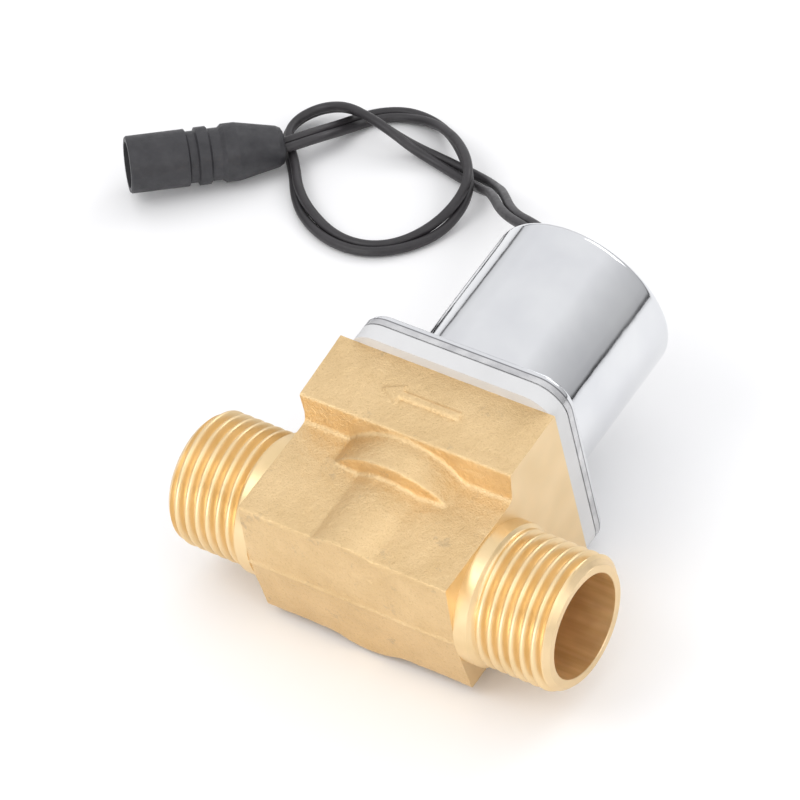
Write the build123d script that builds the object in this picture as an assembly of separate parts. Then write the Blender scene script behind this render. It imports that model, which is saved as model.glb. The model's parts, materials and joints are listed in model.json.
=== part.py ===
"""Latching, pilot-operated solenoid valve with a twin lead and a round two-pole plug.

The valve is drawn in its own axes: X along the pipe, with the inlet at +X and the flow arrow
towards -X, Z along the solenoid, away from the pipe, and Y across, with the arrow on the -Y
face.  Their origin is where the pipe's axis meets the solenoid's.  LAY_DOWN then rests the valve
on its +Y side, where the bonnet's edge and the body flange's lower edge both touch the table
(z = 0).  The lead and its plug lie on the same table and are drawn straight in the row's frame.

Every size is in millimetres.
"""

import os
from math import atan2, cos, degrees, hypot, pi, radians, sin, tan

from build123d import *

# Brass body
BLOCK_HALF_LENGTH = 17.9      # machined end faces, from the solenoid's axis
FLANGE_HALF_DEPTH = 16.0      # cast flange under the bonnet, front and back
FLANGE_BOTTOM = 8.8
BODY_TOP = 20.8               # joint face to the bonnet
WAIST_HALF_DEPTH = 11.3       # lower body, front and back
WAIST_TOP = 7.8               # the flange's sloping underside ends here
BODY_BOTTOM = -9.9
PARTING_RIDGE = -10.9         # the casting's parting line along the bottom
BOSS_RADIUS, BOSS_BOTTOM = 15.0, 3.0
SEAT_BULGE_RADIUS = 12.4      # the seat column shows through the lower walls
FAR_END_LOW, FAR_END_HIGH = 18.45, 19.15    # the flange's own end at -X is left as cast

# Ports: G 1/2 parallel male threads, drawn plain at their major diameter
PORT_END = 33.05
PORT_BORE_RADIUS = 8.0
COLLAR_RADIUS, COLLAR_LENGTH = 10.9, 2.5
THREAD_RADIUS = 10.4775
END_CHAMFER = 1.2

# Water ways and main valve
CHAMBER_RADIUS, CHAMBER_FLOOR = 12.2, 9.3
SEAT_OUTER_RADIUS, SEAT_BORE_RADIUS, SEAT_TOP = 8.0, 6.2, 16.5
RIM_RECESS_RADIUS, RIM_SHELF = 14.2, 18.0
INLET_BORE_END, OUTLET_BORE_END = 9.4, 5.0
RUBBER = 1.2                  # thickness of the diaphragm's middle
RIM_TOP = 19.6
DISC_TOP = 19.2
BLEED_Y, BLEED_RADIUS = 9.4, 0.55
METERING_RADIUS, METERING_BOTTOM, METERING_TOP = 0.35, 15.9, 23.0
PILOT_SEAT_TOP = 19.6
RETAINER_TOP, RETAINER_PLATE = 16.5, 1.2
VANE_BOTTOM = 11.5

# Bonnet, guide tube and plunger
FLANGE_SQUARE, FLANGE_CORNER = 35.8, 5.0
BONNET_TOP = 23.7
BONNET_HUB_TOP, BONNET_HUB_RADIUS = 26.0, 8.5
BONNET_CEILING = 21.8
COUNTERBORE_RADIUS, COUNTERBORE_TOP = 6.95, 24.3
TUBE_INNER, TUBE_OUTER, TUBE_TOP = 4.40, 4.80, 46.3
TUBE_FLANGE_TOP = 22.4
PLUNGER_RADIUS, PLUNGER_BOTTOM, PLUNGER_TOP = 4.33, 20.1, 34.4
SEAL_RADIUS, SEAL_TOP = 2.4, 21.7
SPRING_POCKET_RADIUS, SPRING_POCKET_FLOOR = 2.0, 27.4
CORE_BOTTOM = 37.6            # 3.2 over the plunger, which lifts 3.0

# Coil and magnetic circuit
BOBBIN_BOTTOM, BOBBIN_TOP, BOBBIN_RADIUS, BOBBIN_CHEEK = 27.35, 42.5, 11.2, 0.9
MAGNET_BOTTOM, MAGNET_RADIUS = 42.7, 9.0
YOKE_REACH, YOKE_RADIUS, YOKE_SHEET = 12.9, 13.8, 1.3
YOKE_TOP_BOTTOM, YOKE_TOP = 46.4, 47.9

# Cover, screws and lead
COVER_LIP, COVER_FLANGE = 1.1, 2.2
CAN_RADIUS, CAN_WALL, CAN_TOP, CAN_ROUNDING = 14.85, 0.9, 53.5, 1.3
SCREW_AT = 13.5
SCREW_RADIUS, SCREW_HEAD_RADIUS, SCREW_END = 1.5, 2.8, 13.0
GROMMET_X, GROMMET_Y, GROMMET_TOP = -10.0, 3.5, 54.4
WIRE_RADIUS, WIRE_PITCH = 0.775, 1.65

# The resting attitude: the flange's lower edge comes down to the table with the bonnet's
REST_TILT = atan2(FLANGE_SQUARE / 2 - FLANGE_HALF_DEPTH, BODY_TOP - FLANGE_BOTTOM)
AXES_HEIGHT = FLANGE_SQUARE / 2 * cos(REST_TILT) - BODY_TOP * sin(REST_TILT)
AXES_Y = -21.63               # centres the valve's own box on Y = 0
LAY_DOWN = Pos(0, AXES_Y, AXES_HEIGHT) * Rot(X=degrees(REST_TILT) - 90)

# Route of the middle of the twin lead, from the grommet to the plug, in the row's frame: x, y, z,
# the angle by which the pair leans (0 = flat, 90 = one wire over the other) and how far the two
# wires stand apart, in units of WIRE_PITCH.  It is a loose overhand knot, laid on the table.
LEAD_ROUTE = [
    (-10.0, 32.65, 19.48, 0, 1.0),
    (-10.0, 36.9, 20.1, 0, 1.0),
    (-12.5, 41.0, 20.3, 0, 1.0),
    (-18.1, 43.9, 19.0, 5, 1.0),
    (-26.0, 48.6, 15.1, 12, 1.0),
    (-34.5, 57.8, 9.2, 10, 1.15),
    (-39.6, 63.0, 4.0, 5, 1.4),
    (-43.8, 66.3, 1.1, 5, 1.5),
    (-48.4, 67.3, 0.9, 5, 1.3),
    (-52.9, 68.1, 0.9, 8, 1.0),
    (-57.7, 68.3, 1.6, 30, 1.05),
    (-61.8, 67.7, 3.9, 55, 1.14),
    (-66.4, 68.5, 4.6, 50, 1.05),
    (-70.9, 69.6, 4.1, 50, 1.0),
    (-74.5, 69.7, 3.1, 46, 1.0),
    (-77.4, 68.1, 2.3, 50, 1.0),
    (-79.0, 65.0, 1.8, 54, 1.0),
    (-78.5, 61.5, 1.6, 66, 1.0),
    (-75.9, 58.5, 1.56, 72, 0.97),
    (-72.3, 54.8, 1.56, 72, 0.97),
    (-68.7, 50.2, 1.6, 65, 1.0),
    (-64.3, 46.6, 1.35, 35, 1.0),
    (-58.0, 44.0, 0.9, 5, 1.0),
    (-51.7, 44.1, 0.9, 0, 1.0),
    (-46.8, 47.5, 0.9, 0, 1.0),
    (-43.5, 53.2, 1.4, 35, 1.05),
    (-42.3, 58.8, 3.3, 75, 1.1),
    (-43.7, 63.6, 4.8, 92, 1.08),
    (-49.6, 69.6, 4.1, 90, 1.1),
    (-57.5, 75.1, 1.7, 45, 1.1),
    (-63.8, 75.9, 0.9, 5, 1.05),
    (-67.8, 73.9, 0.9, 0, 1.0),
    (-70.4, 70.7, 0.9, -5, 1.0),
    (-71.3, 66.3, 2.2, -8, 1.0),
    (-72.2, 60.6, 4.4, -3, 1.0),
    (-75.3, 56.7, 4.03, -3, 1.0),
]

# Plug: the middle of its tail, the way from there to its mouth, and its profile
PLUG_TAIL = (-75.4, 56.6, 4.03)
PLUG_AXIS = (-0.697, -0.711, 0.092)
PLUG_LENGTH = 25.4
PLUG_PROFILE = [  # distance from the mouth, radius
    (0.0, 4.45), (0.25, 4.65), (9.5, 4.65), (9.8, 4.2), (11.0, 4.2), (11.25, 4.7), (13.0, 4.7),
    (13.35, 4.25), (15.0, 4.25), (15.6, 4.75), (17.7, 4.75), (24.4, 3.35), (25.1, 2.95),
    (25.4, 2.35),
]
SOCKET_RADIUS, SOCKET_DEPTH = 3.75, 6.5
INSERT_END = 13.0
CONTACT_AT, CONTACT_RADIUS, CONTACT_TIP = 1.9, 0.5, 0.6

UP = (Align.CENTER, Align.CENTER, Align.MIN)


def post(radius, bottom, top, x=0.0, y=0.0):
    """A round bar along the solenoid's axis."""
    return Pos(x, y, bottom) * Cylinder(radius, top - bottom, align=UP)


def pipe(radius, start, end):
    """A round bar along the pipe's axis."""
    return Pos(start, 0, 0) * Rot(Y=90) * Cylinder(radius, end - start, align=UP)


def ring(inner, outer, bottom, top):
    return post(outer, bottom, top) - post(inner, bottom - 1, top + 1)


def slab(x_half, y_half, bottom, top):
    return Pos(0, 0, bottom) * Box(2 * x_half, 2 * y_half, top - bottom, align=UP)


def square_plate(size, corner, bottom, top):
    return Pos(0, 0, bottom) * extrude(RectangleRounded(size, size, corner), top - bottom)


def turned(points, axis=Axis.Z):
    """A solid of revolution from an outline in the XZ plane."""
    return revolve(make_face(Plane.XZ * Polyline(*points, close=True)), axis)


def at_corners(shape):
    return [Pos(x, y, 0) * shape for x in (-SCREW_AT, SCREW_AT) for y in (-SCREW_AT, SCREW_AT)]


def straight_edges(shape, y, z):
    """The edges along X at a given height, front and back."""
    return [
        edge
        for edge in shape.edges().filter_by(Axis.X)
        if abs(abs(edge.center().Y) - y) < 0.01 and abs(edge.center().Z - z) < 0.01
    ]


def inlet_port():
    """The casting's round end at +X: a collar, and the thread as a plain cylinder."""
    thread_start = BLOCK_HALF_LENGTH + COLLAR_LENGTH
    outline = [(BLOCK_HALF_LENGTH, PORT_BORE_RADIUS), (BLOCK_HALF_LENGTH, COLLAR_RADIUS)]
    outline += [(thread_start - 0.3, COLLAR_RADIUS), (thread_start, THREAD_RADIUS)]
    outline += [(PORT_END - END_CHAMFER, THREAD_RADIUS), (PORT_END, THREAD_RADIUS - END_CHAMFER)]
    outline += [(PORT_END, PORT_BORE_RADIUS)]
    return turned(outline, Axis.X)


def outlet_port():
    return Rot(Z=180) * inlet_port()


def flow_arrow():
    """The raised arrow on the -Y face; it points at the outlet."""
    middle, tip, neck, tail = 14.95, -7.9, -4.7, 5.4
    barb, shaft, height = 1.75, 0.65, 0.35
    outline = [(tip, middle), (neck, middle + barb), (neck, middle + shaft)]
    outline += [(tail, middle + shaft), (tail, middle - shaft)]
    outline += [(neck, middle - shaft), (neck, middle - barb)]
    face = make_face(Plane.XZ.offset(FLANGE_HALF_DEPTH - height) * Polyline(*outline, close=True))
    return extrude(face, 2 * height)


def valve_body():
    """The casting without its two round ends, which are nodes of their own."""
    half = [
        (0, BODY_TOP),
        (FLANGE_HALF_DEPTH, BODY_TOP),
        (FLANGE_HALF_DEPTH, FLANGE_BOTTOM),
        (WAIST_HALF_DEPTH, WAIST_TOP),
        (WAIST_HALF_DEPTH, BODY_BOTTOM),
        (0, PARTING_RIDGE),
    ]
    outline = half + [(-y, z) for y, z in reversed(half[1:-1])]
    section = make_face(Plane.YZ * Polyline(*outline, close=True))
    body = extrude(section, BLOCK_HALF_LENGTH, both=True)
    body = fillet(straight_edges(body, FLANGE_HALF_DEPTH, FLANGE_BOTTOM), 0.6)
    body = fillet(straight_edges(body, WAIST_HALF_DEPTH, WAIST_TOP), 0.8)
    body = fillet(straight_edges(body, WAIST_HALF_DEPTH, BODY_BOTTOM), 0.7)
    far_end = [(0, FLANGE_BOTTOM), (-FAR_END_LOW, FLANGE_BOTTOM), (-FAR_END_HIGH, BODY_TOP)]
    far_end = make_face(Plane.XZ * Polyline(*far_end, (0, BODY_TOP), close=True))
    body += extrude(far_end, FLANGE_HALF_DEPTH, both=True)
    body -= pipe(COLLAR_RADIUS, -FAR_END_HIGH - 1, -BLOCK_HALF_LENGTH)
    boss = post(BOSS_RADIUS, BOSS_BOTTOM, BODY_TOP - 2)
    boss = fillet(boss.edges().sort_by(Axis.Z)[:1], 1.0)
    body += boss + post(SEAT_BULGE_RADIUS, BODY_BOTTOM, FLANGE_BOTTOM)

    chamber = ring(SEAT_OUTER_RADIUS, CHAMBER_RADIUS, CHAMBER_FLOOR, BODY_TOP + 1)
    chamber += post(SEAT_OUTER_RADIUS + 1, SEAT_TOP, BODY_TOP + 1)
    chamber += post(RIM_RECESS_RADIUS, RIM_SHELF, BODY_TOP + 1)
    window = ring(SEAT_OUTER_RADIUS + 0.8, CHAMBER_RADIUS - 0.2, 3.0, CHAMBER_FLOOR + 0.1)
    window &= Pos(SEAT_OUTER_RADIUS, 0, 0) * slab(SEAT_OUTER_RADIUS, 6.5, 0, CHAMBER_FLOOR + 1)
    body -= pipe(PORT_BORE_RADIUS, INLET_BORE_END, BLOCK_HALF_LENGTH + 1)
    body -= pipe(PORT_BORE_RADIUS, -BLOCK_HALF_LENGTH - 1, OUTLET_BORE_END)
    body -= chamber
    body -= window
    body -= post(SEAT_BORE_RADIUS, 0, SEAT_TOP + 1)
    for hole in at_corners(post(SCREW_RADIUS + 0.05, SCREW_END - 0.5, BODY_TOP + 1)):
        body -= hole
    return body + flow_arrow()


def diaphragm():
    bottom, top = SEAT_TOP, SEAT_TOP + RUBBER
    outline = [(3.05, bottom), (10.6, bottom), (12.1, RIM_SHELF), (14.1, RIM_SHELF)]
    outline += [(14.1, RIM_TOP), (12.3, RIM_TOP), (10.6, top), (3.05, top)]
    return turned(outline) - post(0.9, bottom - 1, top + 1, 0, BLEED_Y)


def diaphragm_disc():
    plate_bottom = SEAT_TOP + RUBBER
    spigot_bottom = RETAINER_TOP - RETAINER_PLATE
    outline = [(0.6, spigot_bottom), (3.0, spigot_bottom), (3.0, plate_bottom)]
    outline += [(10.5, plate_bottom), (10.5, DISC_TOP), (1.9, DISC_TOP)]
    outline += [(1.4, PILOT_SEAT_TOP), (0.6, PILOT_SEAT_TOP)]
    return turned(outline) - post(BLEED_RADIUS, plate_bottom - 1, DISC_TOP + 1, 0, BLEED_Y)


def diaphragm_retainer():
    """The plate under the rubber, with four vanes that run in the seat's bore."""
    plate_bottom = RETAINER_TOP - RETAINER_PLATE
    guide = ring(3.02, 5.95, plate_bottom, RETAINER_TOP)
    vanes = slab(5.9, 0.4, VANE_BOTTOM, plate_bottom) + slab(0.4, 5.9, VANE_BOTTOM, plate_bottom)
    return guide + (vanes - post(1.2, VANE_BOTTOM - 1, plate_bottom + 1))


def metering_pin():
    return post(METERING_RADIUS, METERING_BOTTOM, METERING_TOP, 0, BLEED_Y)


def bonnet():
    body = square_plate(FLANGE_SQUARE, FLANGE_CORNER, BODY_TOP, BONNET_TOP)
    rim = body.edges().filter_by(lambda edge: abs(edge.center().Z - BONNET_TOP) < 0.01)
    body = chamfer(rim, 0.25)
    body += ring(12.4, 14.05, RIM_TOP, BODY_TOP)
    body += post(BONNET_HUB_RADIUS, BONNET_TOP, BONNET_HUB_TOP)
    body -= post(11.8, BODY_TOP - 0.5, BONNET_CEILING)
    body -= post(COUNTERBORE_RADIUS, BONNET_CEILING - 1, COUNTERBORE_TOP)
    body -= post(TUBE_OUTER + 0.05, BONNET_TOP, BONNET_HUB_TOP + 1)
    body -= post(METERING_RADIUS + 0.02, BONNET_CEILING - 1, METERING_TOP + 0.05, 0, BLEED_Y)
    for hole in at_corners(post(SCREW_RADIUS + 0.15, BODY_TOP - 1, BONNET_TOP + 1)):
        body -= hole
    return body


def guide_tube():
    outline = [(TUBE_INNER, BONNET_CEILING), (6.7, BONNET_CEILING), (6.7, TUBE_FLANGE_TOP)]
    outline += [(TUBE_OUTER, TUBE_FLANGE_TOP), (TUBE_OUTER, TUBE_TOP), (TUBE_INNER, TUBE_TOP)]
    return turned(outline)


def tube_o_ring():
    section = 0.88
    return Pos(0, 0, TUBE_FLANGE_TOP + section + 0.06) * Torus(5.87, section)


def plunger():
    body = post(PLUNGER_RADIUS, PLUNGER_BOTTOM, PLUNGER_TOP)
    body = chamfer(body.edges().filter_by(GeomType.CIRCLE), 0.3)
    body -= post(SEAL_RADIUS, PLUNGER_BOTTOM - 1, SEAL_TOP)
    return body - post(SPRING_POCKET_RADIUS, SPRING_POCKET_FLOOR, PLUNGER_TOP + 1)


def plunger_seal():
    return post(SEAL_RADIUS - 0.02, PILOT_SEAT_TOP, SEAL_TOP)


def plunger_spring():
    wire, coil, end_gap = 0.22, 1.5, 0.08
    bottom = SPRING_POCKET_FLOOR + wire + end_gap
    height = CORE_BOTTOM - wire - end_gap - bottom
    path = Pos(0, 0, bottom) * Helix(pitch=height / 8, height=height, radius=coil)
    section = Plane(origin=path @ 0, z_dir=path % 0) * Circle(wire)
    return sweep(section, path=path, is_frenet=True)


def fixed_core():
    core = post(TUBE_INNER - 0.04, CORE_BOTTOM, YOKE_TOP_BOTTOM)
    return core + post(2.9, YOKE_TOP_BOTTOM, YOKE_TOP)


def magnet_ring():
    return ring(TUBE_OUTER + 0.15, MAGNET_RADIUS, MAGNET_BOTTOM, YOKE_TOP_BOTTOM)


def bobbin():
    hub_inner, hub_outer = TUBE_OUTER + 0.1, 5.8
    outline = [(hub_inner, BOBBIN_BOTTOM), (BOBBIN_RADIUS, BOBBIN_BOTTOM)]
    outline += [(BOBBIN_RADIUS, BOBBIN_BOTTOM + BOBBIN_CHEEK)]
    outline += [(hub_outer, BOBBIN_BOTTOM + BOBBIN_CHEEK), (hub_outer, BOBBIN_TOP - BOBBIN_CHEEK)]
    outline += [(BOBBIN_RADIUS, BOBBIN_TOP - BOBBIN_CHEEK), (BOBBIN_RADIUS, BOBBIN_TOP)]
    outline += [(hub_inner, BOBBIN_TOP)]
    return turned(outline)


def coil_winding():
    return ring(5.85, 10.4, BOBBIN_BOTTOM + BOBBIN_CHEEK + 0.05, BOBBIN_TOP - BOBBIN_CHEEK - 0.05)


def yoke_sheet(y_half, bottom, top):
    """A flat of the steel circuit, cut to fit inside the can."""
    return slab(YOKE_REACH, y_half, bottom, top) & post(YOKE_RADIUS, bottom, top)


def yoke_plate():
    plate = yoke_sheet(8.0, BONNET_HUB_TOP, BONNET_HUB_TOP + YOKE_SHEET)
    return plate - post(TUBE_OUTER + 0.1, BONNET_HUB_TOP - 1, BONNET_HUB_TOP + 3)


def yoke():
    legs = yoke_sheet(4.9, BONNET_HUB_TOP + YOKE_SHEET, YOKE_TOP_BOTTOM)
    legs -= slab(YOKE_REACH - YOKE_SHEET, 6, BONNET_HUB_TOP, YOKE_TOP_BOTTOM)
    bridge = yoke_sheet(7.5, YOKE_TOP_BOTTOM, YOKE_TOP)
    return legs + (bridge - post(3.0, YOKE_TOP_BOTTOM - 1, YOKE_TOP + 1))


def coil_terminals():
    pin = Pos(0, 10.0, BOBBIN_TOP) * Box(0.7, 0.7, 4.0, align=UP)
    return Compound([Pos(x, 0, 0) * pin for x in (-2.5, 2.5)])


def inner_leads():
    """The ends of the two lead wires inside the can, from the terminals to the grommet."""
    leads = []
    for terminal_x, exit_x in ((-2.5, GROMMET_X - 0.8), (2.5, GROMMET_X + 0.8)):
        route = FilletPolyline(
            (terminal_x, 10.0, BOBBIN_TOP + 4.0),
            (terminal_x, 10.0, 49.6 if exit_x > GROMMET_X else 48.6),
            (exit_x, GROMMET_Y, 49.6 if exit_x > GROMMET_X else 49.0),
            (exit_x, GROMMET_Y, GROMMET_TOP - 2.5),
            radius=0.9,
        )
        leads.append(sweep(Plane(origin=route @ 0, z_dir=route % 0) * Circle(0.4), path=route))
    return Compound([lead.solid() for lead in leads])


def cover():
    can = post(CAN_RADIUS, BONNET_TOP, CAN_TOP)
    can = fillet(can.edges().filter_by(GeomType.CIRCLE).sort_by(Axis.Z)[-1:], CAN_ROUNDING)
    lip_top = BONNET_TOP + COVER_LIP
    flange_top = BONNET_TOP + COVER_FLANGE
    upper = square_plate(FLANGE_SQUARE - 0.5, FLANGE_CORNER - 0.25, lip_top, flange_top)
    rim = upper.edges().filter_by(lambda edge: abs(edge.center().Z - flange_top) < 0.01)
    upper = fillet(rim, 0.7)
    body = square_plate(FLANGE_SQUARE, FLANGE_CORNER, BONNET_TOP, lip_top) + upper + can
    body -= post(CAN_RADIUS - CAN_WALL, BONNET_TOP - 1, CAN_TOP - CAN_WALL)
    body -= post(1.9, CAN_TOP - 3, CAN_TOP + 1, GROMMET_X, GROMMET_Y)
    sink_depth = SCREW_HEAD_RADIUS - SCREW_RADIUS
    sink = Pos(0, 0, flange_top - sink_depth) * Cone(
        SCREW_RADIUS + 0.15, SCREW_HEAD_RADIUS + 0.15, sink_depth, align=UP
    )
    hole = post(SCREW_RADIUS + 0.15, BONNET_TOP - 1, flange_top + 1) + sink
    for place in at_corners(hole):
        body -= place
    return body


def cover_screws():
    head_top = BONNET_TOP + COVER_FLANGE - 0.1
    head_depth = SCREW_HEAD_RADIUS - SCREW_RADIUS
    screw = post(SCREW_RADIUS, SCREW_END, head_top - head_depth)
    screw += Pos(0, 0, head_top - head_depth) * Cone(
        SCREW_RADIUS, SCREW_HEAD_RADIUS, head_depth, align=UP
    )
    screw -= slab(1.6, 0.3, head_top - 0.9, head_top + 1)
    screw -= slab(0.3, 1.6, head_top - 0.9, head_top + 1)
    return Compound([place.solid() for place in at_corners(screw)])


def lead_grommet():
    inside = CAN_TOP - CAN_WALL
    body = post(2.3, CAN_TOP, GROMMET_TOP, GROMMET_X, GROMMET_Y)
    body += post(1.85, inside, CAN_TOP, GROMMET_X, GROMMET_Y)
    return body + post(2.2, inside - 0.7, inside, GROMMET_X, GROMMET_Y)


def wire_points(side):
    """One wire's route: the pair's, moved half a pitch sideways and up by the pair's lean."""
    points = []
    last = len(LEAD_ROUTE) - 1
    for index, (x, y, z, lean, spread) in enumerate(LEAD_ROUTE):
        before, after = LEAD_ROUTE[max(index - 1, 0)], LEAD_ROUTE[min(index + 1, last)]
        run_x, run_y = after[0] - before[0], after[1] - before[1]
        reach = side * spread * WIRE_PITCH / 2
        flat = reach * cos(radians(lean)) / hypot(run_x, run_y)
        points.append((x - flat * run_y, y + flat * run_x, z + reach * sin(radians(lean))))
    return points


def lead_wire(name, side):
    """A tube of straight runs and tangent arcs, each arc as large as its two runs allow."""
    points = [Vector(*point) for point in wire_points(side)]
    radii = []
    for before, here, after in zip(points, points[1:], points[2:]):
        turn = radians((here - before).get_angle(after - here))
        shorter = min((here - before).length, (after - here).length)
        radii.append(0.45 * shorter / tan(turn / 2))
    path = FilletPolyline(*points, radius=radii)
    tube = sweep(Plane(origin=path @ 0, z_dir=path % 0) * Circle(WIRE_RADIUS), path=path).solid()
    expected = pi * WIRE_RADIUS**2 * path.length
    print(name, "length", round(path.length, 1), "radii", [round(radius, 1) for radius in radii])
    print(name, "volume over section x length", round(tube.volume / expected, 4))
    return tube


def plug_place():
    """From the plug's own axes, with its mouth at z = 0 and its tail at +z, to the row's frame."""
    toward_mouth = Vector(*PLUG_AXIS).normalized()
    mouth = Vector(*PLUG_TAIL) + toward_mouth * PLUG_LENGTH
    return Plane(origin=mouth, x_dir=(0, 0, 1), z_dir=-toward_mouth).location


def plug_shell():
    outline = [(0, 0)] + [(radius, along) for along, radius in PLUG_PROFILE] + [(0, PLUG_LENGTH)]
    return turned(outline) - post(SOCKET_RADIUS, -1, INSERT_END)


def plug_insert():
    """The moulding at the bottom of the socket, which holds the two pins."""
    body = post(SOCKET_RADIUS - 0.02, SOCKET_DEPTH, INSERT_END)
    for x in (-CONTACT_AT, CONTACT_AT):
        body -= post(CONTACT_RADIUS + 0.02, SOCKET_DEPTH - 1, INSERT_END - 0.5, x, 0)
    return body


def plug_contacts():
    pin = post(CONTACT_RADIUS, CONTACT_TIP, INSERT_END - 0.5)
    pin = fillet(pin.edges().filter_by(GeomType.CIRCLE).sort_by(Axis.Z)[:1], 0.3)
    return Compound([(Pos(x, 0, 0) * pin).solid() for x in (-CONTACT_AT, CONTACT_AT)])


VALVE_NODES = {
    "valve_body": valve_body,
    "inlet_port": inlet_port,
    "outlet_port": outlet_port,
    "diaphragm": diaphragm,
    "diaphragm_disc": diaphragm_disc,
    "diaphragm_retainer": diaphragm_retainer,
    "metering_pin": metering_pin,
    "bonnet": bonnet,
    "guide_tube": guide_tube,
    "tube_o_ring": tube_o_ring,
    "plunger": plunger,
    "plunger_seal": plunger_seal,
    "plunger_spring": plunger_spring,
    "fixed_core": fixed_core,
    "magnet_ring": magnet_ring,
    "bobbin": bobbin,
    "coil_winding": coil_winding,
    "yoke_plate": yoke_plate,
    "yoke": yoke,
    "coil_terminals": coil_terminals,
    "inner_leads": inner_leads,
    "cover": cover,
    "cover_screws": cover_screws,
    "lead_grommet": lead_grommet,
}
PLUG_NODES = {
    "plug_shell": plug_shell,
    "plug_insert": plug_insert,
    "plug_contacts": plug_contacts,
}

os.makedirs("parts", exist_ok=True)
for node, build in VALVE_NODES.items():
    export_step(LAY_DOWN * build(), f"parts/{node}.step")
for node, build in PLUG_NODES.items():
    export_step(plug_place() * build(), f"parts/{node}.step")
for node, side in (("lead_wire_a", 1), ("lead_wire_b", -1)):
    export_step(lead_wire(node, side), f"parts/{node}.step")
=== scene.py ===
"""Looks of the latching solenoid valve: cast brass, chrome, white plastic, black lead and plug.

Lengths are in metres in the row's frame, except in the brass body and the spring: these are drawn
in the valve's own axes, in millimetres, and placed by VALVE.  In those, X runs along the pipe with
the inlet at +X, Z along the solenoid, and the flow arrow is on the -Y face.
"""

import json
from math import atan2, cos, hypot, pi, radians, sin, tau

import bmesh
import bpy
from mathutils import Matrix, Vector, noise


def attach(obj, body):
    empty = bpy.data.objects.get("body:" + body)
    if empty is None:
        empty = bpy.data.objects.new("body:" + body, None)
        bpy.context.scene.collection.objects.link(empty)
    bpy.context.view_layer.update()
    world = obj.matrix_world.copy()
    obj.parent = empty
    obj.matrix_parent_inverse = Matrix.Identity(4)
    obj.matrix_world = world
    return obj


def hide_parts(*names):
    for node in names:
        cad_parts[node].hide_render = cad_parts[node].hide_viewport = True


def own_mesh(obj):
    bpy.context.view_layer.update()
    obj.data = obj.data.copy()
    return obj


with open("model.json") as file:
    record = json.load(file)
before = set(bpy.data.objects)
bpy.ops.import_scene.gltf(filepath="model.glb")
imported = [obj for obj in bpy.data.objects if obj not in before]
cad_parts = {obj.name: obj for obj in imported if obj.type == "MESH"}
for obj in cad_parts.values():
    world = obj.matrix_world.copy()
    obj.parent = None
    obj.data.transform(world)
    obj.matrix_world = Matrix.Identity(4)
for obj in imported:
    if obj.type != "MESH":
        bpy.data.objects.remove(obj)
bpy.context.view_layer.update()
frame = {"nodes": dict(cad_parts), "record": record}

MM = 0.001
HOUSING = "housing"

# The valve's driving sizes, in millimetres
BLOCK_HALF_LENGTH = 17.9
FLANGE_HALF_DEPTH, FLANGE_BOTTOM, BODY_TOP = 16.0, 8.8, 20.8
WAIST_HALF_DEPTH, WAIST_TOP, BODY_BOTTOM, PARTING_RIDGE = 11.3, 7.8, -9.9, -10.9
BOSS_RADIUS, BOSS_BOTTOM, SEAT_BULGE_RADIUS = 15.0, 3.0, 12.4
FAR_END_LOW, FAR_END_HIGH = 18.45, 19.15  # the flange's end at -X slopes and is left as cast
CHAMBER_RADIUS, CHAMBER_FLOOR = 12.2, 9.3
SEAT_OUTER_RADIUS, SEAT_BORE_RADIUS, SEAT_TOP = 8.0, 6.2, 16.5
RIM_RECESS_RADIUS, RIM_SHELF = 14.2, 18.0
PORT_END, BORE_RADIUS, INLET_BORE_END, OUTLET_BORE_END = 33.05, 8.0, 9.4, 5.0
COLLAR_RADIUS, COLLAR_END = 10.9, 20.4
END_CHAMFER, MOUTH_CHAMFER = 1.2, 0.1
THREAD_DEPTH, THREAD_PITCH = 1.162, 1.814
THREAD_RADIUS = 10.40  # a little under the nominal 10.4775
BONNET_HALF = 17.9
LIP_TOP = 24.8
SPRING_BOTTOM, SPRING_TOP, PLUNGER_LIFT = 27.45, 37.55, 3.0

# The valve lies on the edges of its bonnet and its flange
REST_TILT = atan2(BONNET_HALF - FLANGE_HALF_DEPTH, BODY_TOP - FLANGE_BOTTOM)
inlet_mount = next(m for m in frame["record"]["mounts"] if m["name"] == "inlet_thread")
AXES_Y, AXES_Z = inlet_mount["pos_m"][1:]
VALVE = (
    Matrix.Translation((0, AXES_Y, AXES_Z))
    @ Matrix.Rotation(REST_TILT - pi / 2, 4, "X")
    @ Matrix.Scale(MM, 4)
)

WIRE_DIAMETER, WIRE_PITCH = 0.00155, 0.00165
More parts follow.
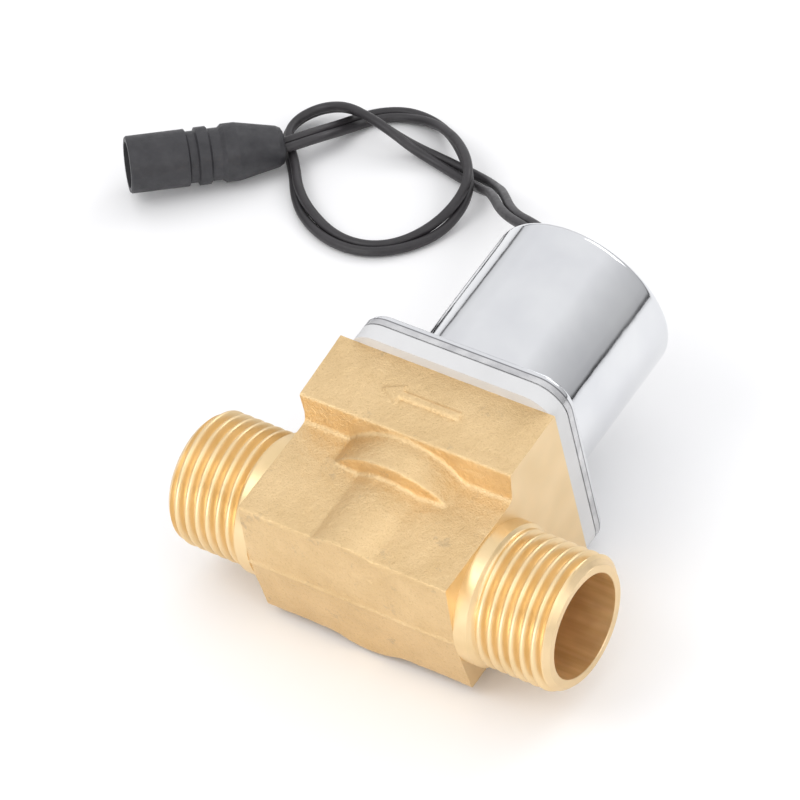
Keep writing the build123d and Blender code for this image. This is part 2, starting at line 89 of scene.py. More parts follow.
# The lead's route: x, y, z, the pair's lean in degrees, and how far apart its wires are
LEAD_ROUTE = [
    (-0.0100, 0.03265, 0.01948, 0, 1.0),
    (-0.0100, 0.0369, 0.0201, 0, 1.0),
    (-0.0125, 0.0410, 0.0203, 0, 1.0),
    (-0.0181, 0.0439, 0.0190, 5, 1.0),
    (-0.0260, 0.0486, 0.0151, 12, 1.0),
    (-0.0345, 0.0578, 0.0092, 10, 1.15),
    (-0.0396, 0.0630, 0.0040, 5, 1.4),
    (-0.0438, 0.0663, 0.0011, 5, 1.5),
    (-0.0484, 0.0673, 0.0009, 5, 1.3),
    (-0.0529, 0.0681, 0.0009, 8, 1.0),
    (-0.0577, 0.0683, 0.0016, 30, 1.05),
    (-0.0618, 0.0677, 0.0039, 55, 1.14),
    (-0.0664, 0.0685, 0.0046, 50, 1.05),
    (-0.0709, 0.0696, 0.0041, 50, 1.0),
    (-0.0745, 0.0697, 0.0031, 46, 1.0),
    (-0.0774, 0.0681, 0.0023, 50, 1.0),
    (-0.0790, 0.0650, 0.0018, 54, 1.0),
    (-0.0785, 0.0615, 0.0016, 66, 1.0),
    (-0.0759, 0.0585, 0.00156, 72, 0.97),
    (-0.0723, 0.0548, 0.00156, 72, 0.97),
    (-0.0687, 0.0502, 0.0016, 65, 1.0),
    (-0.0643, 0.0466, 0.00135, 35, 1.0),
    (-0.0580, 0.0440, 0.0009, 5, 1.0),
    (-0.0517, 0.0441, 0.0009, 0, 1.0),
    (-0.0468, 0.0475, 0.0009, 0, 1.0),
    (-0.0435, 0.0532, 0.0014, 35, 1.05),
    (-0.0423, 0.0588, 0.0033, 75, 1.1),
    (-0.0437, 0.0636, 0.0048, 92, 1.08),
    (-0.0496, 0.0696, 0.0041, 90, 1.1),
    (-0.0575, 0.0751, 0.0017, 45, 1.1),
    (-0.0638, 0.0759, 0.0009, 5, 1.05),
    (-0.0678, 0.0739, 0.0009, 0, 1.0),
    (-0.0704, 0.0707, 0.0009, -5, 1.0),
    (-0.0713, 0.0663, 0.0022, -8, 1.0),
    (-0.0722, 0.0606, 0.0044, -3, 1.0),
    (-0.0753, 0.0567, 0.00403, -3, 1.0),
]


# ---------------------------------------------------------------- materials


class Shader:
    """A material with a Principled shader, and short calls for the nodes that feed it."""

    def __init__(self, name, **sockets):
        self.material = bpy.data.materials.new(name)
        self.material.use_nodes = True
        self.tree = self.material.node_tree
        self.surface = self.tree.nodes["Principled BSDF"]
        for socket, value in sockets.items():
            self.surface.inputs[socket.replace("_", " ")].default_value = value

    def add(self, kind, settings=None, **inputs):
        node = self.tree.nodes.new("ShaderNode" + kind)
        for name, value in (settings or {}).items():
            setattr(node, name, value)
        for name, value in inputs.items():
            self.feed(node, name.replace("_", " "), value)
        return node

    def feed(self, node, socket, value):
        target = node.inputs[socket]
        if isinstance(value, bpy.types.NodeSocket):
            self.tree.links.new(value, target)
        else:
            target.default_value = value

    def place(self):
        return self.add("TexCoord").outputs["Object"]

    def noise(self, size, detail=3.0, rough=0.5, stretch=None):
        """Noise whose features are about size metres across."""
        vector = self.place()
        if stretch:
            vector = self.add("Mapping", Vector=vector, Scale=stretch).outputs[0]
        made = self.add("TexNoise", Vector=vector, Scale=1 / size, Detail=detail, Roughness=rough)
        return made.outputs["Fac"]

    def ramp(self, factor, *stops):
        node = self.add("ValToRGB", Fac=factor)
        elements = node.color_ramp.elements
        while len(elements) < len(stops):
            elements.new(0.5)
        for element, (position, colour) in zip(elements, stops):
            element.position = position
            element.color = colour if len(colour) == 4 else (*colour, 1)
        return node.outputs["Color"]

    def levels(self, factor, low, high, bottom=0.0, top=1.0):
        """factor from low..high, stretched to bottom..top."""
        node = self.add("MapRange", Value=factor)
        sockets = ("From Min", "From Max", "To Min", "To Max")
        for socket, value in zip(sockets, (low, high, bottom, top)):
            node.inputs[socket].default_value = value
        return node.outputs["Result"]

    def mix(self, first, second, share):
        node = self.add("Mix", {"data_type": "RGBA"})
        for socket, value in ((0, share), (6, first), (7, second)):
            self.feed(node, socket, value)
        return node.outputs[2]

    def bump(self, *layers):
        """Each layer is a height and its depth in metres; they add up."""
        normal = None
        for height, depth in layers:
            node = self.add("Bump", Height=height, Distance=depth, Strength=1.0)
            if normal:
                self.feed(node, "Normal", normal)
            normal = node.outputs["Normal"]
        self.feed(self.surface, "Normal", normal)

    def colour(self, value):
        self.feed(self.surface, "Base Color", value)

    def roughness(self, value):
        self.feed(self.surface, "Roughness", value)


def cast_brass():
    shader = Shader("cast_brass", Metallic=1.0)
    tone = shader.noise(0.006, 4, 0.6)
    grain = shader.noise(0.00034, 3, 0.75)
    skin = shader.ramp(tone, (0.3, (0.72, 0.52, 0.275)), (0.7, (0.81, 0.60, 0.335)))
    pits = shader.levels(grain, 0.28, 0.45, 0.45, 0)
    smudges = shader.levels(shader.noise(0.0045, 5, 0.75), 0.31, 0.39, 0.35, 0)
    skin = shader.mix(skin, (0.50, 0.345, 0.17, 1), pits)
    shader.colour(shader.mix(skin, (0.36, 0.28, 0.20, 1), smudges))
    shader.roughness(shader.levels(grain, 0.3, 0.7, 0.52, 0.36))
    shader.bump((shader.noise(0.0013, 3), 0.00005), (grain, 0.00014))
    return shader.material


def turned_brass(name, dark, light, low, high, metallic=1.0, drawn=False):
    """Brass cut in a lathe: the grooves run round the pipe's axis, X, or along it where drawn."""
    shader = Shader(name, Metallic=metallic)
    lie = (0.06, 1.0, 1.0) if drawn else (1.0, 0.05, 0.05)
    tone = shader.noise(0.0012, 3, stretch=lie) if drawn else shader.noise(0.004, 3)
    shader.colour(shader.ramp(tone, (0.3, dark), (0.7, light)))
    shader.roughness(shader.levels(shader.noise(0.002, 2), 0.3, 0.7, low, high))
    shader.bump((shader.noise(0.0005, 1, 0.4, stretch=lie), 0.000004))
    return shader.material


def chrome():
    """Bright chrome; the flange's lip is duller, with a line of painted shade in the crease where it
    was rolled over.
    """
    shader = Shader("chrome", Metallic=1.0)
    upright = VALVE.to_3x3().col[2].normalized()
    height = shader.add("VectorMath", {"operation": "DOT_PRODUCT"})
    shader.feed(height, 0, shader.place())
    shader.feed(height, 1, upright)
    height = height.outputs["Value"]
    haze = shader.noise(0.009, 3)
    bright = shader.ramp(haze, (0.3, (0.70, 0.71, 0.73)), (0.7, (0.77, 0.78, 0.79)))
    lip_top = Vector((0, AXES_Y, AXES_Z)).dot(upright) + LIP_TOP * MM
    # seam is the half width of a band of painted shade along the crease at the lip's top.
    seam, blur = 0.00012, 0.00005
    is_lip = shader.levels(height, lip_top - blur, lip_top + blur, 1, 0)
    below = shader.levels(height, lip_top - 2 * seam, lip_top - seam, 0, 1)
    above = shader.levels(height, lip_top + seam, lip_top + 2 * seam, 1, 0)
    crease_shade = shader.add("Math", {"operation": "MULTIPLY"})
    shader.feed(crease_shade, 0, below)
    shader.feed(crease_shade, 1, above)
    patches = shader.noise(0.003, 3)
    streaks = shader.ramp(patches, (0.35, (0.52, 0.52, 0.53)), (0.65, (0.72, 0.72, 0.72)))
    lip = shader.mix(bright, streaks, is_lip)
    # The dark grey band is painted shade in the crease of the roll.
    shader.colour(shader.mix(lip, (0.22, 0.22, 0.23, 1), crease_shade.outputs[0]))
    shine = shader.levels(haze, 0.3, 0.7, 0.06, 0.11)
    dull = shader.add("Math", {"operation": "MULTIPLY_ADD"})
    for socket, value in enumerate((is_lip, 0.18, shine)):
        shader.feed(dull, socket, value)
    shader.roughness(dull.outputs[0])
    shader.bump((shader.noise(0.005, 2), 0.00004), (shader.noise(0.0018, 2), 0.000006))
    return shader.material


def white_plastic():
    shader = Shader("white_plastic", IOR=1.5)
    tone = shader.noise(0.008, 3)
    shader.colour(shader.ramp(tone, (0.3, (0.60, 0.60, 0.60)), (0.7, (0.65, 0.65, 0.65))))
    shader.roughness(shader.levels(shader.noise(0.001, 2), 0.3, 0.7, 0.32, 0.45))
    shader.bump((shader.noise(0.0006, 2), 0.000012))
    return shader.material


def black_pvc():
    shader = Shader("black_pvc", IOR=1.52)
    tone = shader.noise(0.005, 3)
    shader.colour(shader.ramp(tone, (0.3, (0.020, 0.018, 0.020)), (0.7, (0.034, 0.031, 0.034))))
    shader.roughness(shader.levels(shader.noise(0.0012, 2), 0.3, 0.7, 0.40, 0.52))
    shader.bump((shader.noise(0.0005, 2), 0.000015))
    return shader.material


def grey_rubber():
    shader = Shader("grey_rubber", IOR=1.5)
    tone = shader.noise(0.003, 5, 0.65)
    shader.colour(shader.ramp(tone, (0.3, (0.018, 0.018, 0.021)), (0.7, (0.037, 0.036, 0.040))))
    shader.roughness(shader.levels(shader.noise(0.0012, 3), 0.3, 0.7, 0.42, 0.6))
    shader.bump((shader.noise(0.0016, 3), 0.00006), (shader.noise(0.0003, 2), 0.00002))
    return shader.material


def plain_metal(name, dark, light, low, high):
    shader = Shader(name, Metallic=1.0)
    shader.colour(shader.ramp(shader.noise(0.003, 3), (0.3, dark), (0.7, light)))
    shader.roughness(shader.levels(shader.noise(0.0009, 2), 0.3, 0.7, low, high))
    shader.bump((shader.noise(0.0004, 2), 0.00001))
    return shader.material


def plain_moulding(name, dark, light, low, high):
    shader = Shader(name, IOR=1.5)
    shader.colour(shader.ramp(shader.noise(0.003, 3), (0.3, dark), (0.7, light)))
    shader.roughness(shader.levels(shader.noise(0.0009, 2), 0.3, 0.7, low, high))
    shader.bump((shader.noise(0.0005, 2), 0.000015))
    return shader.material


CAST = cast_brass()
MACHINED = turned_brass("threaded_brass", (0.83, 0.63, 0.35), (0.89, 0.69, 0.41), 0.38, 0.46)
FACED = turned_brass("faced_brass", (0.78, 0.59, 0.34), (0.85, 0.655, 0.40), 0.36, 0.48)
BORED = turned_brass(
    "bored_brass", (0.78, 0.53, 0.24), (0.93, 0.66, 0.34), 0.35, 0.5, metallic=0.75, drawn=True
)
RUBBER = plain_moulding("black_rubber", (0.02, 0.02, 0.02), (0.04, 0.04, 0.04), 0.5, 0.7)
STEEL = plain_metal("stainless_steel", (0.52, 0.52, 0.52), (0.64, 0.64, 0.64), 0.22, 0.35)
PLATED = plain_metal("plated_steel", (0.55, 0.54, 0.48), (0.68, 0.67, 0.62), 0.28, 0.42)
ACETAL = plain_moulding("dark_acetal", (0.03, 0.03, 0.035), (0.05, 0.05, 0.06), 0.35, 0.5)
NYLON = plain_moulding("natural_nylon", (0.62, 0.60, 0.52), (0.72, 0.70, 0.62), 0.35, 0.5)
COPPER = plain_metal("lacquered_copper", (0.45, 0.15, 0.05), (0.60, 0.24, 0.10), 0.25, 0.4)
FERRITE = plain_moulding("ferrite", (0.03, 0.03, 0.035), (0.06, 0.06, 0.06), 0.55, 0.7)
TINNED = plain_metal("tinned_contact", (0.60, 0.58, 0.52), (0.78, 0.76, 0.70), 0.15, 0.3)
PVC, PLUG_GREY = black_pvc(), grey_rubber()

NODE_MATERIALS = {
    "bonnet": white_plastic(),
    "cover": chrome(),
    "cover_screws": STEEL,
    "lead_grommet": RUBBER,
    "plug_shell": PLUG_GREY,
    "plug_insert": ACETAL,
    "plug_contacts": TINNED,
    "diaphragm": RUBBER,
    "diaphragm_disc": ACETAL,
    "diaphragm_retainer": ACETAL,
    "metering_pin": STEEL,
    "guide_tube": STEEL,
    "tube_o_ring": RUBBER,
    "plunger": STEEL,
    "plunger_seal": RUBBER,
    "fixed_core": STEEL,
    "magnet_ring": FERRITE,
    "bobbin": NYLON,
    "coil_winding": COPPER,
    "yoke": PLATED,
    "yoke_plate": PLATED,
    "coil_terminals": TINNED,
    "inner_leads": PVC,
}


# ---------------------------------------------------------------- mesh helpers


def link(name, mesh):
    piece = bpy.data.objects.new(name, mesh)
    bpy.context.scene.collection.objects.link(piece)
    return piece


def from_bmesh(name, bm):
    bmesh.ops.recalc_face_normals(bm, faces=bm.faces)
    mesh = bpy.data.meshes.new(name)
    bm.to_mesh(mesh)
    bm.free()
    return link(name, mesh)


def prism(bm, outline, start, end, axis):
    """A closed prism: outline points are in the two other axes' order, start and end along axis."""
    rings = []
    for along in (start, end):
        ring = []
        for u, v in outline:
            place = {"X": (along, u, v), "Y": (u, along, v), "Z": (u, v, along)}[axis]
            ring.append(bm.verts.new(place))
        rings.append(ring)
    count = len(outline)
    for i in range(count):
        j = (i + 1) % count
        bm.faces.new((rings[0][i], rings[0][j], rings[1][j], rings[1][i]))
    bm.faces.new(rings[0])
    bm.faces.new(rings[1][::-1])


def revolve(bm, outline, axis, count=144):
    """A closed solid of revolution; outline holds radius and height along axis."""
    rings = []
    for radius, along in outline:
        ring = []
        for i in range(count if radius > 0 else 1):
            u, v = radius * cos(tau * i / count), radius * sin(tau * i / count)
            ring.append(bm.verts.new({"X": (along, u, v), "Z": (u, v, along)}[axis]))
        rings.append(ring)
    for a, b in zip(rings, rings[1:] + rings[:1]):
        for i in range(count):
            corners = [a[i % len(a)], a[(i + 1) % len(a)], b[(i + 1) % len(b)], b[i % len(b)]]
            corners = list(dict.fromkeys(corners))
            if len(corners) > 2:
                bm.faces.new(corners)


def circle(radius, count=96):
    return [(radius * cos(tau * i / count), radius * sin(tau * i / count)) for i in range(count)]


def apply_modifiers(piece):
    """Bakes the piece's modifiers into a new mesh."""
    bpy.context.view_layer.update()
    depsgraph = bpy.context.evaluated_depsgraph_get()
    mesh = bpy.data.meshes.new_from_object(piece.evaluated_get(depsgraph))
    piece.modifiers.clear()
    piece.data = mesh


def cut(piece, cutter):
    modifier = piece.modifiers.new("cut", "BOOLEAN")
    modifier.operation = "DIFFERENCE"
    modifier.solver = "MANIFOLD"
    modifier.object = cutter
    apply_modifiers(piece)
    bpy.data.objects.remove(cutter)


def smooth_by_angle(piece, degrees):
    mesh = piece.data
    mesh.polygons.foreach_set("use_smooth", [True] * len(mesh.polygons))
    mesh.set_sharp_from_angle(angle=radians(degrees))


# ---------------------------------------------------------------- brass body

CASTING_VOXEL = 0.25
CAST_OVERRUN = 3  # the raw casting is longer than the block, and its ends are then machined off


def raw_casting():
    """The block, boss and seat bulge as overlapping closed shapes, still sharp-edged."""
    cast_top = BODY_TOP + 1  # the joint face is machined down to BODY_TOP
    half = [
        (0, cast_top),
        (FLANGE_HALF_DEPTH, cast_top),
        (FLANGE_HALF_DEPTH, FLANGE_BOTTOM),
        (WAIST_HALF_DEPTH, WAIST_TOP),
        (WAIST_HALF_DEPTH, BODY_BOTTOM),
        (0, PARTING_RIDGE),
    ]
    outline = half + [(-y, z) for y, z in reversed(half[1:-1])]
    reach = BLOCK_HALF_LENGTH + CAST_OVERRUN
    bm = bmesh.new()
    prism(bm, outline, -reach, reach, "X")
    slope, inset, boss_top = 0.2, 2.6, BODY_TOP - 2
    boss = [(0, BOSS_BOTTOM - slope), (BOSS_RADIUS - inset, BOSS_BOTTOM - slope)]
    boss += [(BOSS_RADIUS, BOSS_BOTTOM + slope), (BOSS_RADIUS, boss_top), (0, boss_top)]
    revolve(bm, boss, "Z")
    prism(bm, circle(SEAT_BULGE_RADIUS), BODY_BOTTOM - 0.2, FLANGE_BOTTOM, "Z")
    return from_bmesh("body_casting", bm)


def weather(piece):
    """Rounds the raw casting's edges and roughens it, as sand leaves it."""
    remesh = piece.modifiers.new("remesh", "REMESH")
    remesh.mode = "VOXEL"
    remesh.voxel_size = CASTING_VOXEL
    soften = piece.modifiers.new("soften", "SMOOTH")
    soften.factor, soften.iterations = 0.5, 8
    apply_modifiers(piece)
    swell_rate, swell_depth, shrinkage = 0.22, 0.10, 0.10
    grit_rate, grit_depth, elsewhere = 1.3, 0.05, Vector((7, 3, 5))
    moved = []
    for vertex in piece.data.vertices:
        swell = noise.noise(vertex.co * swell_rate) * swell_depth
        grit = noise.noise(vertex.co * grit_rate + elsewhere) * grit_depth
        raised = parting_line(vertex.co)
        if vertex.co.y < 1 - FLANGE_HALF_DEPTH:
            raised += arrow_height(vertex.co)
        moved.extend(vertex.co + vertex.normal * (swell + grit - shrinkage + raised))
    piece.data.vertices.foreach_set("co", moved)


def parting_line(place):
    """The thin ridge that the two halves of the mould leave along the bottom and the far end."""
    half_width, height = 0.45, 0.22
    on_seam = place.z < BODY_BOTTOM + 2 or place.x < -BLOCK_HALF_LENGTH
    return height * max(0, 1 - abs(place.y) / half_width) if on_seam else 0


def arrow_height(place):
    """How far the cast-in flow arrow stands up here; its sides slope over about 0.3 mm."""
    middle, tip, neck, tail = 14.95, -7.9, -4.7, 5.4
    barb, shaft, height, slope = 1.75, 0.65, 0.38, 0.32
    across = abs(place.z - middle)
    in_shaft = min(shaft - across, place.x - neck + slope, tail - place.x)
    in_head = min(neck - place.x, barb * (place.x - tip) / (neck - tip) - across)
    inside = max(in_shaft, in_head) / slope + 0.5
    return height * min(max(inside, 0), 1)


def end_cutter():
    """What is machined or broken off both ends of the casting."""
    out = 60  # well clear of the casting
    inlet_end = [(BLOCK_HALF_LENGTH, -out), (out, -out), (out, out), (BLOCK_HALF_LENGTH, out)]
    outlet_end = [(-BLOCK_HALF_LENGTH, -out), (-BLOCK_HALF_LENGTH, FLANGE_BOTTOM)]
    outlet_end += [(-FAR_END_LOW, FLANGE_BOTTOM), (-FAR_END_HIGH, BODY_TOP), (-FAR_END_HIGH, out)]
    outlet_end += [(-out, out), (-out, -out)]
    bm = bmesh.new()
    prism(bm, inlet_end, -out, out, "Y")
    prism(bm, outlet_end, -out, out, "Y")
    return from_bmesh("end_cutter", bm)


def top_cutter():
    """What is machined off the joint face to the bonnet."""
    out = 40  # well clear of the casting
    bm = bmesh.new()
    prism(bm, [(-out, -out), (out, -out), (out, out), (-out, out)], BODY_TOP, BODY_TOP + 10, "Z")
    return from_bmesh("top_cutter", bm)


def bore_cutter():
    bm = bmesh.new()
    prism(bm, circle(BORE_RADIUS), INLET_BORE_END, PORT_END + 5, "X")
    prism(bm, circle(BORE_RADIUS), -PORT_END - 5, OUTLET_BORE_END, "X")
    return from_bmesh("bore_cutter", bm)


def chamber_cutter():
    """The annular chamber round the seat, and the recess for the diaphragm's rim."""
    above = BODY_TOP + 0.7
    steps = [(CHAMBER_RADIUS, CHAMBER_FLOOR), (CHAMBER_RADIUS, RIM_SHELF)]
    steps += [(RIM_RECESS_RADIUS, RIM_SHELF), (RIM_RECESS_RADIUS, above), (0.0, above)]
    steps += [(0.0, SEAT_TOP), (SEAT_OUTER_RADIUS, SEAT_TOP), (SEAT_OUTER_RADIUS, CHAMBER_FLOOR)]
    bm = bmesh.new()
    revolve(bm, steps, "Z")
    return from_bmesh("chamber_cutter", bm)


def water_way_cutter():
    """The window from the inlet's bore up to the chamber, and the seat's bore to the outlet."""
    inner, outer, half_width = 8.9, 12.0, 6.5
    window = [(inner, -half_width), (outer, -half_width), (outer, half_width), (inner, half_width)]
    bm = bmesh.new()
    prism(bm, window, 3.0, CHAMBER_FLOOR + 0.2, "Z")
    prism(bm, circle(SEAT_BORE_RADIUS), 0.0, SEAT_TOP + 0.5, "Z")
    return from_bmesh("water_way_cutter", bm)


def paint(piece, materials, finish):
    """Gives each face the material that finish picks, by index, for its centre in valve axes."""
    piece.data.materials.clear()
    for material in materials:
        piece.data.materials.append(material)
    for face in piece.data.polygons:
        face.material_index = finish(face.center)


def casting_finish(centre):
    """0 as cast, 1 for machined outer faces, 2 inside the bores and the chamber."""
    as_cast = centre.x < 0 and centre.z > FLANGE_BOTTOM
    if centre.z > BODY_TOP - 0.01 or abs(centre.x) > BLOCK_HALF_LENGTH - 0.01 and not as_cast:
        return 1
    slack = 0.02
    in_bore = hypot(centre.y, centre.z) < BORE_RADIUS + slack
    above_floor = centre.z > CHAMBER_FLOOR - slack
    in_chamber = hypot(centre.x, centre.y) < CHAMBER_RADIUS + slack and above_floor
    return 2 if in_bore or in_chamber else 0


def body_casting():
    piece = raw_casting()
    weather(piece)
    for cutter in (end_cutter, top_cutter, bore_cutter, chamber_cutter, water_way_cutter):
        cut(piece, cutter())
    paint(piece, (CAST, FACED, BORED), casting_finish)
    piece.data.transform(VALVE)
    smooth_by_angle(piece, 35)
    return piece


def thread_radius(along):
    """The thread's radius at a share of one pitch: broad round crests and narrower roots."""
    return THREAD_RADIUS - THREAD_DEPTH * ((1 - cos(tau * along)) / 2) ** 1.5


THREAD_STEPS = 144  # round one turn
PROFILE = [step / 12 for step in range(12)]


def port(name, turn):
    """Collar, helical thread, end face and bore as one closed piece."""
    start, end = COLLAR_END, PORT_END
    run_in_length, slope, bevel = 0.9, 0.24, 0.08
    bm = bmesh.new()

    def ring(radius, along):
        return [bm.verts.new((along, *point)) for point in circle(radius, THREAD_STEPS)]

    def thread_point(along, angle):
        along = min(max(along, start), end)
        radius = thread_radius((along - start) / THREAD_PITCH - angle / tau)
        run_in = min((along - start) / run_in_length, 1)
        radius = THREAD_RADIUS - (THREAD_RADIUS - radius) * run_in
        radius = min(radius, THREAD_RADIUS - END_CHAMFER + (end - along))
        return (along, radius * cos(angle), radius * sin(angle))

    columns = []
    turns = int((end - start) / THREAD_PITCH) + 3
    for step in range(THREAD_STEPS):
        angle = tau * step / THREAD_STEPS
        places = [start]
        for k in range(-1, turns):
            for share in PROFILE:
                along = start + (k + share + angle / tau) * THREAD_PITCH
                if start < along < end:
                    places.append(along)
        places += [end - END_CHAMFER, end]
        columns.append([thread_point(along, angle) for along in sorted(places)])
    strips = [[bm.verts.new(point) for point in column] for column in columns]
    shell = [ring(BORE_RADIUS, BLOCK_HALF_LENGTH), ring(COLLAR_RADIUS, BLOCK_HALF_LENGTH)]
    shell += [ring(COLLAR_RADIUS, start - slope - bevel)]
    shell += [ring(COLLAR_RADIUS - bevel, start - slope)]
    inner = [ring(BORE_RADIUS + MOUTH_CHAMFER, end), ring(BORE_RADIUS, end - MOUTH_CHAMFER)]
    for step in range(THREAD_STEPS):
        after = (step + 1) % THREAD_STEPS
        for a, b in zip(shell, shell[1:]):
            bm.faces.new((a[step], a[after], b[after], b[step]))
        bm.faces.new((shell[-1][step], shell[-1][after], strips[after][0], strips[step][0]))
        bm.faces.new((strips[step][-1], strips[after][-1], inner[0][after], inner[0][step]))
        bm.faces.new((inner[0][step], inner[0][after], inner[1][after], inner[1][step]))
        bm.faces.new((inner[1][step], inner[1][after], shell[0][after], shell[0][step]))
        stitch(bm, strips[step], strips[after])
    piece = from_bmesh(name, bm)
    paint(piece, (MACHINED, FACED, BORED), port_finish)
    piece.data.transform(VALVE @ Matrix.Rotation(turn, 4, "Z"))
    smooth_by_angle(piece, 40)
    return piece


def port_finish(centre):
    """0 on the thread and collar, 1 on the end face, 2 in the bore."""
    if hypot(centre.y, centre.z) < BORE_RADIUS + 0.02:
        return 2
    return 1 if centre.x > PORT_END - 0.6 * END_CHAMFER else 0


def stitch(bm, left, right):
    """Fills the strip between two columns of vertices; the right one's rows are a step further on."""
    beyond, close = 1e9, 1e-4
    climb = THREAD_PITCH / THREAD_STEPS
    i = j = 0
    while i < len(left) - 1 or j < len(right) - 1:
        forward_left = left[i + 1].co.x if i < len(left) - 1 else beyond
        forward_right = right[j + 1].co.x if j < len(right) - 1 else beyond
        if abs(forward_left + climb - forward_right) < close:
            bm.faces.new((left[i], left[i + 1], right[j + 1], right[j]))
            i, j = i + 1, j + 1
        elif forward_left + climb < forward_right:
            bm.faces.new((left[i], left[i + 1], right[j]))
            i += 1
        else:
            bm.faces.new((left[i], right[j + 1], right[j]))
            j += 1


# ---------------------------------------------------------------- spring


def plunger_spring():
    """The spring over the plunger: a closed tube along a helix whose end turns lie closer."""
    wire, coil, turns, steps, sides = 0.22, 1.5, 8, 36, 12
    bottom, top = SPRING_BOTTOM + wire, SPRING_TOP - wire
    upward = Vector((0, 0, 1))
    bm = bmesh.new()
    rings = []
    for step in range(turns * steps + 1):
        share = step / (turns * steps)
        rise = share - 0.5 * sin(tau * share) / tau
        angle = tau * turns * share
        outward = Vector((cos(angle), sin(angle), 0))
        centre = outward * coil + upward * (bottom + (top - bottom) * rise)
        ring = []
        for side in range(sides):
            turn = tau * side / sides
            ring.append(bm.verts.new(centre + wire * (cos(turn) * outward + sin(turn) * upward)))
        rings.append(ring)
    for a, b in zip(rings, rings[1:]):
        for i in range(sides):
            j = (i + 1) % sides
            bm.faces.new((a[i], a[j], b[j], b[i]))
    bm.faces.new(rings[0])
    bm.faces.new(rings[-1][::-1])
    piece = from_bmesh("plunger_spring_looks", bm)
    piece.data.materials.append(STEEL)
    piece.data.transform(VALVE)
    smooth_by_angle(piece, 40)
    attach(piece, HOUSING)
    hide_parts("plunger_spring")
    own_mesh(piece)


# ---------------------------------------------------------------- lead


def wire_points(side):
    """One wire's route: the pair's, moved by half a pitch sideways and up as the pair leans."""
    points = []
    last = len(LEAD_ROUTE) - 1
    for index, (x, y, z, lean, spread) in enumerate(LEAD_ROUTE):
        before, after = LEAD_ROUTE[max(index - 1, 0)], LEAD_ROUTE[min(index + 1, last)]
        run_x, run_y = after[0] - before[0], after[1] - before[1]
        reach = side * spread * WIRE_PITCH / 2
        flat = reach * cos(radians(lean)) / hypot(run_x, run_y)
        points.append((x - flat * run_y, y + flat * run_x, z + reach * sin(radians(lean))))
    return points


def lead_wire(node, side):
    curve = bpy.data.curves.new(node + "_looks", "CURVE")
    curve.dimensions = "3D"
    curve.bevel_depth = WIRE_DIAMETER / 2
    curve.bevel_resolution = 6
    curve.resolution_u = 10
    curve.use_fill_caps = True
    points = wire_points(side)
    spline = curve.splines.new("NURBS")
    spline.points.add(len(points) - 1)
    for control, place in zip(spline.points, points):
        control.co = (*place, 1)
    spline.order_u = 3
    spline.use_endpoint_u = True
    spline.use_smooth = True
    curve.materials.append(PVC)
    piece = link(node + "_looks", curve)
    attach(piece, HOUSING)
    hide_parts(node)
    return piece


# ---------------------------------------------------------------- stage

CAMERA_AT = (0.3389, -0.43783, 0.5183)
CAMERA_RIGHT = (0.8246, 0.5583, -0.0911)
CAMERA_UP = (-0.3172, 0.5896, 0.7428)
CAMERA_LENS = 230.5


def camera():
    data = bpy.data.cameras.new("camera")
    data.lens = CAMERA_LENS
    data.sensor_width = 36
    data.clip_start, data.clip_end = 0.01, 10
    right, up = Vector(CAMERA_RIGHT).normalized(), Vector(CAMERA_UP).normalized()
    back = right.cross(up)
    place = Matrix((right, up, back)).transposed().to_4x4()
    place.translation = CAMERA_AT
    holder = bpy.data.objects.new("camera", data)
    holder.matrix_world = place
    bpy.context.scene.collection.objects.link(holder)
    bpy.context.scene.camera = holder


def floor():
    bm = bmesh.new()
    bmesh.ops.create_grid(bm, x_segments=1, y_segments=1, size=3)
    piece = from_bmesh("floor", bm)
    shader = Shader("floor_white", Roughness=0.8)
    tone = shader.noise(0.4, 2)
    shader.colour(shader.ramp(tone, (0.0, (0.90, 0.90, 0.90)), (1.0, (0.94, 0.94, 0.94))))
    piece.data.materials.append(shader.material)
    piece.location.z = -0.0001  # clear of what rests on it


def area_light(name, place, target, size, power):
    data = bpy.data.lights.new(name, "AREA")
    data.shape = "RECTANGLE"
    data.size, data.size_y = size
    data.energy = power
    light = bpy.data.objects.new(name, data)
    light.location = place
    light.rotation_mode = "QUATERNION"
    light.rotation_quaternion = (Vector(target) - Vector(place)).to_track_quat("-Z", "Y")
    bpy.context.scene.collection.objects.link(light)


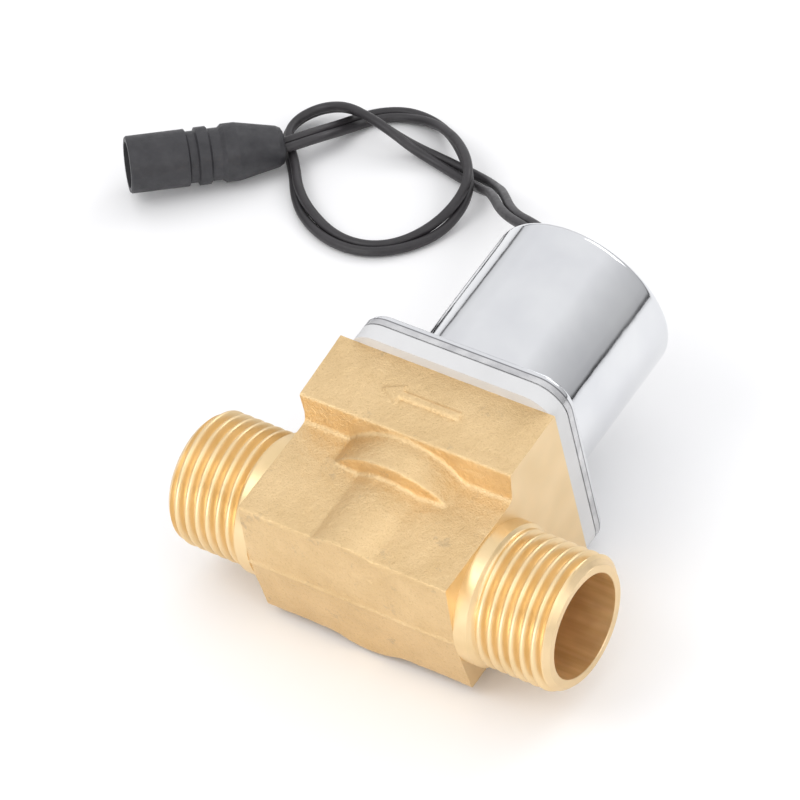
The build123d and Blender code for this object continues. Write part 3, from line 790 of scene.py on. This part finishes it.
def surroundings():
    """A white light tent: dark along its lower edge, and a little dimmer to the camera's sides."""
    world = bpy.data.worlds.new("light_tent")
    bpy.context.scene.world = world
    world.use_nodes = True
    nodes, links = world.node_tree.nodes, world.node_tree.links
    background = nodes["Background"]
    background.inputs["Strength"].default_value = 1.0
    coordinates = nodes.new("ShaderNodeTexCoord")
    split = nodes.new("ShaderNodeSeparateXYZ")
    links.new(coordinates.outputs["Generated"], split.inputs[0])
    height = nodes.new("ShaderNodeValToRGB")
    links.new(split.outputs["Z"], height.inputs["Fac"])
    bands = [(0.0, 0.10), (0.03, 0.14), (0.08, 0.85), (0.25, 1.0)]
    blue_tint = 1.02
    elements = height.color_ramp.elements
    elements.new(0.1)
    elements.new(0.2)
    for element, (position, level) in zip(elements, bands):
        element.position, element.color = position, (level, level, level * blue_tint, 1)
    sideways = nodes.new("ShaderNodeVectorMath")
    sideways.operation = "DOT_PRODUCT"
    sideways.inputs[1].default_value = CAMERA_RIGHT
    links.new(coordinates.outputs["Generated"], sideways.inputs[0])
    distance = nodes.new("ShaderNodeMath")
    distance.operation = "ABSOLUTE"
    links.new(sideways.outputs["Value"], distance.inputs[0])
    dimming = nodes.new("ShaderNodeMapRange")
    for socket, value in (("From Min", 0.4), ("From Max", 0.95), ("To Min", 1.0), ("To Max", 0.6)):
        dimming.inputs[socket].default_value = value
    links.new(distance.outputs[0], dimming.inputs["Value"])
    shade = nodes.new("ShaderNodeVectorMath")
    shade.operation = "SCALE"
    links.new(height.outputs["Color"], shade.inputs[0])
    links.new(dimming.outputs["Result"], shade.inputs["Scale"])
    links.new(shade.outputs["Vector"], background.inputs["Color"])


# ---------------------------------------------------------------- assembly

camera()
lead_wire("lead_wire_a", 1)
lead_wire("lead_wire_b", -1)

casting = body_casting()
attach(casting, HOUSING)
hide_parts("valve_body")
for node, turn in (("inlet_port", 0), ("outlet_port", pi)):
    piece = port(node + "_looks", turn)
    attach(piece, HOUSING)
    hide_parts(node)

plunger_spring()

for node, material in NODE_MATERIALS.items():
    shown = frame["nodes"][node]
    for index in range(max(1, len(shown.material_slots))):
        if not shown.material_slots:
            shown.data.materials.append(material)
        shown.material_slots[index].material = material

floor()
surroundings()
area_light("key", (-0.25, -0.35, 0.55), (0, 0, 0.02), (0.35, 0.35), 1.0)
area_light("fill", (0.5, -0.1, 0.35), (0, 0, 0.02), (0.3, 0.3), 0.5)
area_light("back", (0.1, 0.5, 0.4), (0, 0, 0.02), (0.4, 0.2), 0.6)
area_light("front", (0.05, -0.55, 0.10), (0, 0, 0.015), (0.4, 0.15), 0.9)

bpy.context.scene.view_settings.view_transform = "Standard"
